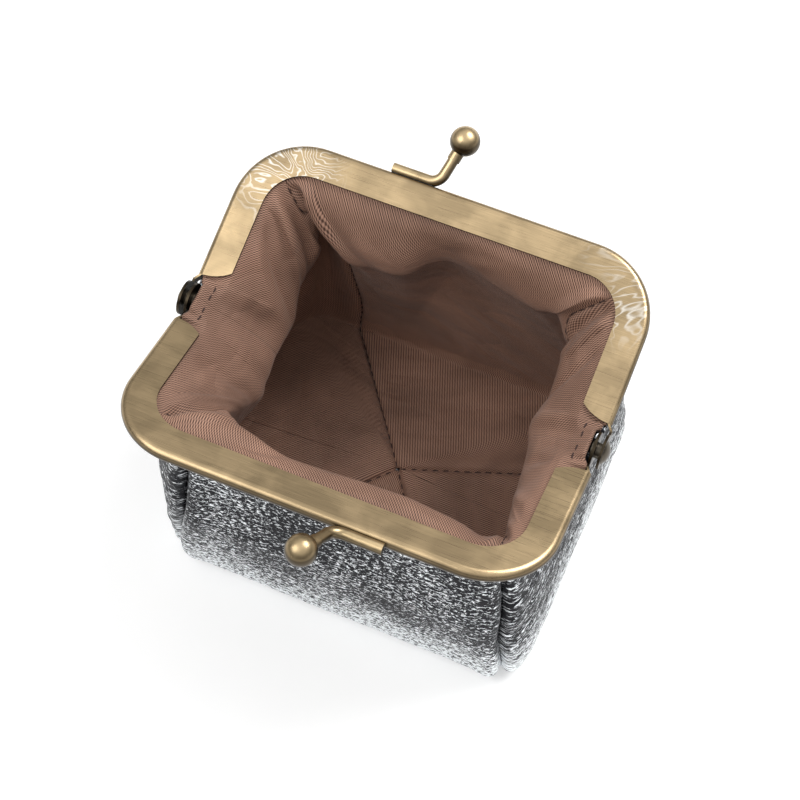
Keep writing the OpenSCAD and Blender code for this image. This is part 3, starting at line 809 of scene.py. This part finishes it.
def lining_gore(name, seam0, seam1, sewn, steps):
    """One gore of the lining between two seams, as leather_gore is."""
    G, R = stations(seam0, seam1, row_grid(22, 70, 70, 60), steps)
    p = lining_surface(G, R)
    uv = gore_uv(p, sewn)
    n = -grid_normals(p)
    x, y, z = p[..., 0], p[..., 1], p[..., 2]
    d = from_seams(p, sewn)
    free = smooth((R - 1.0) / 0.3)
    flat = smooth((R - 2.85) / 0.15)
    push = free * (0.35 * (1 - 0.7 * flat) * soft_noise(x + 0.4 * y, y + z * 1.2, 16.0, 31) + 0.3
                   - 0.6 * np.exp(-(d / 0.6) ** 2) + 0.35 * bump(d, 2.2, 1.5))
    push = push + gathers(p, G, R)
    p = p + n * push[..., None]
    keep_inside(p, smooth((R - 1.15) / 0.2))
    p[..., 2] = np.where(flat > 0.5, np.maximum(p[..., 2], 2.2), p[..., 2])
    remember_stitches(name, p, n, G, R, sewn)
    ob = mesh_from_grid(name, p, uv)
    thicken(ob, LINING_T, 1 if outward_winding(ob) else -1)
    dress(ob, LINING)
    return ob


# A stitch's length, pitch, radius and lift, in the seams and inside the rims,
# and the row of the thread there
SEAM_THREAD, RIM_THREAD, RIM_ROW = (1.5, 2.6, 0.16, 0.12), (1.5, 2.2, 0.2, 0.08), 0.66
# Rows of thread by jaw: points, normals and the sizes above
STITCHES = {"front_frame": [], "back_frame": []}


def remember_stitches(name, p, n, G, R, sewn):
    """Notes where thread shows on a gore: along its seams, and inside the
    free rim beside a hinge."""
    jaw = "back_frame" if "back" in name else "front_frame"
    if len(sewn) == 2:
        for a in (0, -1):
            keep = R[a] > 1.04
            STITCHES[jaw].append((p[a][keep], n[a][keep], *SEAM_THREAD))
        return
    row = int(np.argmin(np.abs(R[0] - RIM_ROW)))
    i, _, _ = fold_station(G[:, row])
    keep = i > LEG + 0.1
    if keep.sum() > 3:
        STITCHES[jaw].append((p[keep, row], n[keep, row], *RIM_THREAD))


# The strips under the hinges: depth of the fold, distance from the middle, how
# much further out the top lies, and how far the edges are drawn in
FOLD = {"right": (1.5, 45.3, 0.2, 1.8), "left": (0.4, 42.2, 2.4, 0.3)}


def inner_fold(name, side):
    """The leather that folds in under a hinge when the jaws shut. It lies
    behind the two halves of a side gore and shows only as they part."""
    end = "right" if side > 0 else "left"
    depth, out, top_out, edge_in = FOLD[end]
    y, z = np.meshgrid(np.linspace(-10, 10, 31), np.linspace(24, 54.5, 45), indexing="ij")
    x = out + top_out * smooth((z - 46) / 10)
    x = x - depth * np.exp(-(y / 4.5) ** 2) * smooth((z - 24) / 14) * smooth((61 - z) / 8)
    x = x - edge_in * smooth((np.abs(y) - 5) / 5) * smooth((z - 30) / 10)
    p = np.stack([side * x, y, z], -1)
    ob = mesh_from_grid(name, p, cloth_uv(p, 20))
    thicken(ob, STRIP_T, 0)
    dress(ob, LEATHER_SIDE)
    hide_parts("leather_" + end, "interlining_" + end)
    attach(ob, "bag")


# ---------------------------------------------------------------- stitches
def stitch_row(path, normals, length, pitch, radius, lift):
    """Short spindles of thread along a path of points, in millimetres."""
    path, normals = np.asarray(path), np.asarray(normals)
    arc = np.concatenate([[0], np.cumsum(np.linalg.norm(np.diff(path, axis=0), axis=1))])
    verts, faces = [], []

    def along_arc(a, values):
        return np.array([np.interp(a, arc, values[:, k]) for k in range(3)])

    # Each ring: share of the stitch's length, share of its radius
    sides, rings = 6, ((0.0, 0.25), (0.18, 0.9), (0.5, 1.0), (0.82, 0.9), (1.0, 0.25))
    start = pitch / 2
    while start + length < arc[-1]:
        first = len(verts)
        for share, width in rings:
            a = start + length * share
            c, n = along_arc(a, path), along_arc(a, normals)
            along = along_arc(a + 0.2, path) - c
            along /= max(np.linalg.norm(along), 1e-6)
            n /= np.linalg.norm(n)
            b = np.cross(along, n)
            c = c + n * (lift - 0.25 * radius * (abs(share - 0.5) * 2) ** 2)
            for q in range(sides):
                t = 2 * math.pi * q / sides
                verts.append(c + radius * width * (math.cos(t) * n + math.sin(t) * b))
        for ring in range(len(rings) - 1):
            for q in range(sides):
                a0 = first + ring * sides + q
                a1 = first + ring * sides + (q + 1) % sides
                faces.append((a0, a1, a1 + sides, a0 + sides))
        faces.append(tuple(first + q for q in range(sides))[::-1])
        faces.append(tuple(first + (len(rings) - 1) * sides + q for q in range(sides)))
        start += pitch
    return verts, faces


def make_stitches(name, rows, jaw):
    """All the thread on the gores of one jaw, as one piece."""
    verts, faces = [], []
    for row in rows:
        v, f = stitch_row(*row)
        faces += [tuple(k + len(verts) for k in one) for one in f]
        verts += v
    ob = smooth_mesh(name, [tuple(v * MM) for v in verts], faces)
    dress(ob, THREAD)
    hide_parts("lining_" + jaw.removesuffix("_frame"), "lining_left", "lining_right")
    bend_with(ob)


# ---------------------------------------------------------------- CAD nodes
SHARP = math.radians(32)
# A CAD node's material, by a part of its name, the first that fits
CAD_MATERIALS = (("_jaw", BRASS), ("clasp", POLISHED), ("rivet", DARK), ("paper_cord", PAPER),
                 ("interlining", FELT), ("leather", LEATHER), ("lining", LINING))


def dress_cad():
    for name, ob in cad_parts.items():
        if any(part in name for part in ("_jaw", "clasp", "rivet")):
            ob.data.polygons.foreach_set("use_smooth", [True] * len(ob.data.polygons))
            ob.data.set_sharp_from_angle(angle=SHARP)
        dress(ob, next(mat for part, mat in CAD_MATERIALS if part in name))


# ---------------------------------------------------------------- stage
FLOOR_GREY, FLOOR_GLOW = (0.84, 0.84, 0.84, 1), 0.27
# Lamps: name, place and size in metres, power in watts
LAMPS = (("key", (0.35, 0.45, 0.75), (0.5, 0.4), 4.7),
         ("fill", (-0.42, -0.34, 0.72), (0.6, 0.6), 2.6))
SKY = [(0.0, (0.16,)), (0.35, (0.30,)), (0.75, (0.85,)), (1.0, (1.0,))]


def area_lamp(name, place, size, power, target=(0, 0, 0.03)):
    light = bpy.data.lights.new(name, "AREA")
    light.shape = "RECTANGLE"
    light.size, light.size_y = size
    light.energy = power
    ob = bpy.data.objects.new(name, light)
    ob.location = place
    ob.rotation_euler = (Vector(target) - Vector(place)).to_track_quat("-Z", "Y").to_euler()
    bpy.context.scene.collection.objects.link(ob)


def make_stage():
    """A pale floor that keeps the shadow, a graded sky, and two soft lamps."""
    bpy.ops.mesh.primitive_plane_add(size=6, location=(0, 0, 0))
    floor = bpy.context.object
    floor.name = "floor"
    m, nt, b = material("floor")
    b.inputs["Base Color"].default_value = FLOOR_GREY
    b.inputs["Roughness"].default_value = 0.8
    b.inputs["Specular IOR Level"].default_value = 0.1
    path = nt.nodes.new("ShaderNodeLightPath").outputs
    seen = maths(nt, "MAXIMUM", path["Is Camera Ray"], path["Is Glossy Ray"])
    glow = node(nt, "ShaderNodeEmission", Strength=FLOOR_GLOW)
    bright = nt.nodes.new("ShaderNodeAddShader")
    nt.links.new(b.outputs[0], bright.inputs[0])
    nt.links.new(glow.outputs[0], bright.inputs[1])
    mix = nt.nodes.new("ShaderNodeMixShader")
    nt.links.new(seen, mix.inputs[0])
    nt.links.new(b.outputs[0], mix.inputs[1])
    nt.links.new(bright.outputs[0], mix.inputs[2])
    nt.links.new(mix.outputs[0], nt.nodes["Material Output"].inputs["Surface"])
    floor.data.materials.append(m)
    world = bpy.data.worlds.new("studio")
    bpy.context.scene.world = world
    world.use_nodes = True
    nt = world.node_tree
    bg = nt.nodes["Background"]
    co = nt.nodes.new("ShaderNodeTexCoord")
    sky = ramp(nt, SKY, split(nt, co.outputs["Generated"])["Z"])
    path = nt.nodes.new("ShaderNodeLightPath").outputs
    seen = blend_colours(nt, path["Is Camera Ray"], sky.outputs["Color"], (1, 1, 1, 1))
    nt.links.new(seen, bg.inputs["Color"])
    bg.inputs["Strength"].default_value = 1.0
    for lamp in LAMPS:
        area_lamp(*lamp)


FAMILIES = (("leather", leather_gore, LEATHER_SEAMS, 150, ("leather", "interlining")),
            ("lining", lining_gore, LINING_SEAMS, 170, ("lining",)))
for family in FAMILIES:
    for made, jaw in six_gores(*family):
        bend_with(made)
for side, name in ((1, "leather_right_inner_fold"), (-1, "leather_left_inner_fold")):
    inner_fold(name, side)
for jaw, rows in STITCHES.items():
    make_stitches("lining_stitches_" + jaw.removesuffix("_frame"), rows, jaw)
dress_cad()
make_stage()
make_camera()
bpy.context.scene.view_settings.view_transform = "Standard"
